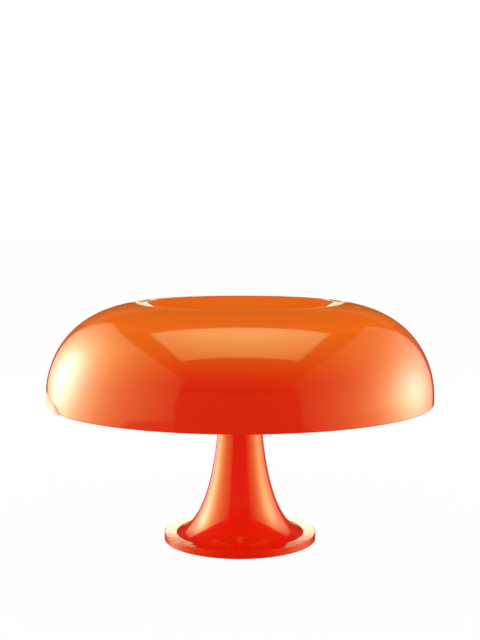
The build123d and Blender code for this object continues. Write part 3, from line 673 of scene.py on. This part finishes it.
finishes = {
    "orange_plastic": orange_plastic(),
    "cast_iron": cast_iron(),
    "steel": bright_metal("steel", low=(0.50, 0.50, 0.49), high=(0.62, 0.61, 0.58),
                          roughness=0.32),
    "cover_black": dull("cover_black", low=(0.012, 0.012, 0.013), high=(0.022, 0.022, 0.023),
                        roughness=0.55, grains=900, relief=0.35),
    "rubber": dull("rubber", low=(0.018, 0.018, 0.018), high=(0.03, 0.029, 0.028),
                   roughness=0.75, grains=700, relief=0.5),
    "cast_aluminium": cast_aluminium(),
    "white_thermoplastic": dull("white_thermoplastic", low=(0.72, 0.71, 0.68),
                                high=(0.80, 0.79, 0.76), roughness=0.38, grains=500,
                                relief=0.10, coat=0.25),
    "brass": bright_metal("brass", low=(0.72, 0.48, 0.17), high=(0.83, 0.60, 0.27),
                          roughness=0.24),
    "lead_sheath": dull("lead_sheath", low=(0.70, 0.69, 0.66), high=(0.78, 0.77, 0.74),
                        roughness=0.42, grains=400, relief=0.12),
    "opal_glass": opal_glass(),
    "black_glass": dull("black_glass", low=(0.008, 0.008, 0.009), high=(0.014, 0.013, 0.013),
                        roughness=0.12, grains=300, relief=0.05, coat=1.0),
    "plated_cap": bright_metal("plated_cap", low=(0.70, 0.68, 0.63), high=(0.80, 0.78, 0.73),
                               roughness=0.2),
    "solder": bright_metal("solder", low=(0.50, 0.51, 0.52), high=(0.62, 0.63, 0.64),
                           roughness=0.42, streaks=500),
}

slot_of = {part["node"]: part["material_slot"] for part in frame["record"]["subparts"]}
for thing in list(bpy.data.objects):
    if thing.name in slot_of:
        for slot in thing.material_slots:
            slot.material = finishes[slot_of[thing.name]]


def add(name, part, body, nodes, slot):
    """A new piece, smooth but sharp where it turns, with its body, nodes and finish."""
    piece = placed(name, *part)
    mesh = piece.data
    mesh.validate()
    mesh.polygons.foreach_set("use_smooth", np.ones(len(mesh.polygons), bool))
    mesh.set_sharp_from_angle(angle=SHARP_ANGLE)
    mesh.materials.append(finishes[slot])
    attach(piece, body)
    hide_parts(*nodes)
    return piece


def cut_notch(piece):
    """The foot's wall cut for the grommet: an arch carried along +Y, taken away."""
    section = np.concatenate([arc((0, NOTCH_Z), NOTCH_RADIUS, 0, math.pi),
                              [(-NOTCH_RADIUS, NOTCH_LOW), (NOTCH_RADIUS, NOTCH_LOW)]])
    count = len(section)
    points = np.concatenate([np.stack([section[:, 0], 0 * section[:, 0] + y, section[:, 1]], 1)
                             for y in (FOOT_INNER - NOTCH_PAST, FOOT_RADIUS + NOTCH_PAST)])
    faces = grid_faces(2, count, False, True).tolist()
    faces += [list(range(count))[::-1], list(range(count, 2 * count))]
    tool = placed("notch_tool", points, faces)
    cut = piece.modifiers.new("notch", "BOOLEAN")
    cut.object, cut.operation, cut.solver = tool, "DIFFERENCE", "EXACT"
    cut_mesh = bpy.data.meshes.new_from_object(
        piece.evaluated_get(bpy.context.evaluated_depsgraph_get()))
    piece.modifiers.clear()
    piece.data = cut_mesh
    cut_mesh.name = piece.name
    bpy.data.objects.remove(tool)


foot = add("foot_and_stem_moulding",
           joined(turned(foot_and_stem_profile()), ring_of(boss(), BOSS_COUNT, BOSS_START)),
           "stand", ["foot_and_stem"], "orange_plastic")
cut_notch(foot)
add("shade_moulding", turned(shade_profile()), "head", ["shade"], "orange_plastic")
add("dish_moulding", joined(turned(dish_profile()), ring_of(hook(), HOOK_COUNT)),
    "head", ["upper_funnel"], "orange_plastic")
for k in range(HOLDERS):
    angle = 2 * math.pi * k / HOLDERS
    number = k + 1
    bulb = "bulb_%d" % number
    at = (0, 0, AXIS_Z)
    tip = (BULB_TIP, 0, AXIS_Z)
    add("lampholder_%d_body" % number,
        moved(turned(holder_profile(), SMALL_AROUND), angle, True, at),
        "stand", ["lampholder_%d" % number], "white_thermoplastic")
    add(bulb + "_glass", moved(turned(globe_profile(), SMALL_AROUND), angle, True, tip),
        bulb, [bulb + "_globe"], "opal_glass")
    add(bulb + "_screw_cap", moved(cap(), angle, True, tip),
        bulb, [bulb + "_cap"], "plated_cap")


def circle(radius, height, around):
    """Points (r cos a, r sin a, z) evenly round the lamp's axis."""
    a = np.linspace(0, 2 * math.pi, around, endpoint=False)
    return np.stack([radius * np.cos(a), radius * np.sin(a), height + 0 * a], 1)


def floor():
    """A round pale table, nearly all plain white to the camera, so that shadows only tint it."""
    table = placed("table", circle(TABLE_RADIUS, 0.0, TABLE_AROUND),
                   [list(range(TABLE_AROUND))])
    look = new_look("table_white")
    lit = look.node("ShaderNodeBsdfDiffuse", sockets={"Color": (TABLE_WHITE,) * 3})
    plain = look.node("ShaderNodeEmission", sockets={"Color": (1, 1, 1), "Strength": 1.0})
    mixed = look.node("ShaderNodeMixShader",
                      sockets={0: look.seen() * TABLE_PLAIN, 1: lit, 2: plain})
    look.node("ShaderNodeOutputMaterial", sockets={"Surface": mixed})
    table.data.materials.append(look.owner)


def world():
    """White to the camera and in gloss; a plain even light on everything else."""
    scene = bpy.context.scene
    scene.world = scene.world or bpy.data.worlds.new("world")
    look = Look(scene.world)
    strength = WORLD_LIGHT + (1 - WORLD_LIGHT) * look.seen()
    light = look.node("ShaderNodeBackground",
                      sockets={"Color": (1, 1, 1), "Strength": strength})
    look.node("ShaderNodeOutputWorld", sockets={"Surface": light})


def dark_room():
    """The dark studio that the photograph's gloss shows; only gloss sees it."""
    rings = [(0.0, ROOM_LOW), (ROOM_RADIUS, ROOM_LOW), (ROOM_RADIUS, ROOM_HIGH),
             (0.0, ROOM_HIGH)]
    points = np.concatenate([circle(r, z, ROOM_AROUND) for r, z in rings])
    room = placed("dark_room", points,
                  grid_faces(len(rings), ROOM_AROUND, False, True).tolist())
    room.data.materials.append(new_look("black_cloth").surface(
        Base_Color=(0.0, 0.0, 0.0), Roughness=0.2, Emission_Color=AMBER,
        Emission_Strength=ROOM_GLOW))
    for way in ("camera", "diffuse", "transmission", "shadow", "volume_scatter"):
        setattr(room, "visible_" + way, False)


def soft_lamp(name, place, turn, width, height, radiance):
    """A rectangular lamp at a place, turned to face a way, that the camera can't see."""
    light = bpy.data.lights.new(name, "AREA")
    light.shape, light.size, light.size_y = "RECTANGLE", width, height
    light.energy = radiance * math.pi * width * height
    lamp = in_scene(name, light)
    lamp.location = place
    lamp.rotation_euler = turn
    lamp.visible_camera = False
    return lamp


def lit_cloth(name, hot, reach, steep, tail, core, **lamp):
    """A white cloth that only gloss sees, lit from behind round a hot spot.

    Its brightness is radiance / (1 + (a^2 + (steep b)^2) / reach^2), with a the distance
    from the hot spot along the floor and b the height above or below it. Its colour turns
    from the tail's to the core's as it gets brighter, and less so near the table.
    """
    cloth = soft_lamp(name, **lamp)
    look = Look(cloth.data)
    here = look.node("ShaderNodeSeparateXYZ", sockets={
        "Vector": look.node("ShaderNodeNewGeometry").out("Position")})
    across, along, up = (((here.out(axis) - middle) * (1 / reach)) ** 2
                         for axis, middle in zip("XYZ", hot))
    share = 1.0 / (1.0 + (across + along) + up * steep ** 2)
    high = here.out("Z").rise(0, CORE_HEIGHT)
    near = share.rise(CORE_FROM, CORE_TO) * (CORE_AT_TABLE + (1 - CORE_AT_TABLE) * high)
    glow = look.node("ShaderNodeEmission", sockets={
        "Color": look.blend(near, tail, core), "Strength": share})
    look.node("ShaderNodeOutputLight", sockets={"Surface": glow})
    cloth.visible_diffuse = False


def fill(name, colour=WARM, **lamp):
    """A soft lamp that adds light but no reflection."""
    made = soft_lamp(name, **lamp)
    made.data.color = colour
    made.visible_glossy = False


def lights():
    """Cloths for what the gloss shows, and fills for the light on the colours."""
    overhead = {"place": (0, -0.04, 1.9), "turn": DOWN, "width": 1.8, "height": 1.52}
    side = {"width": 0.9, "height": 2.6, "radiance": 1.2}
    lit_cloth("overhead_cloth", **overhead, radiance=3.0,
              hot=(0.05, -0.05, 1.9), reach=1.1, steep=1.0, tail=WARM, core=WARM)
    lit_cloth("left_cloth", place=(-1.15, 0.24, 0.84), turn=TO_RIGHT, width=1.66, height=3.88,
              radiance=9.2, hot=(-1.15, 0.45, 0.42), reach=0.50, steep=1.1, tail=TAIL, core=CORE)
    lit_cloth("right_cloth", place=(0.72, -0.15, 0.55), turn=TO_LEFT, width=1.08, height=2.10,
              radiance=7.0, hot=(0.72, 0.05, 0.25), reach=0.28, steep=1.4, tail=TAIL, core=CORE)
    lit_cloth("back_cloth", place=(0, 2.20, 0.275), turn=TO_FRONT, width=0.76, height=0.55,
              radiance=1.3, hot=(0, 2.20, 0.45), reach=0.6, steep=1.5, tail=BACK, core=BACK)
    lit_cloth("back_panel", place=(0, 2.20, 0.58), turn=TO_FRONT, width=0.53, height=0.12,
              radiance=5.6, hot=(0, 2.20, 0.58), reach=0.6, steep=2.0, tail=BACK, core=BACK)
    lit_cloth("left_table_cloth", place=(-0.8, 0.8, 0.002), turn=UP, width=0.7, height=1.4,
              radiance=2.6, hot=(-1.15, 0.45, 0.002), reach=0.8, steep=1.0, tail=TAIL, core=CORE)
    fill("overhead_fill", **overhead, radiance=4.3)
    fill("left_fill", place=(-1.1, 0.1, 0.45), turn=TO_RIGHT, **side)
    fill("right_fill", place=(1.1, 0.1, 0.45), turn=TO_LEFT, **side)
    fill("table_bounce", place=(0, 0, 0.02), turn=UP, width=0.5, height=0.5, radiance=0.25)
    fill("shade_glow", colour=GLOW, place=(0, 0, 0.215), turn=DOWN, width=0.4, height=0.4,
         radiance=0.22)


def camera():
    """The photograph's view: a little above the shade, with the lamp low in the frame."""
    lens = bpy.data.cameras.new("camera")
    lens.sensor_width = SENSOR
    lens.lens = FOCAL * SENSOR / PHOTO_TALL
    lens.shift_y = RISE / PHOTO_TALL
    view = in_scene("camera", lens)
    view.location = EYE
    view.rotation_euler = (math.radians(90 - TILT), 0, 0)
    bpy.context.scene.camera = view


floor()
world()
dark_room()
lights()
camera()
bpy.context.scene.view_settings.view_transform = "Standard"
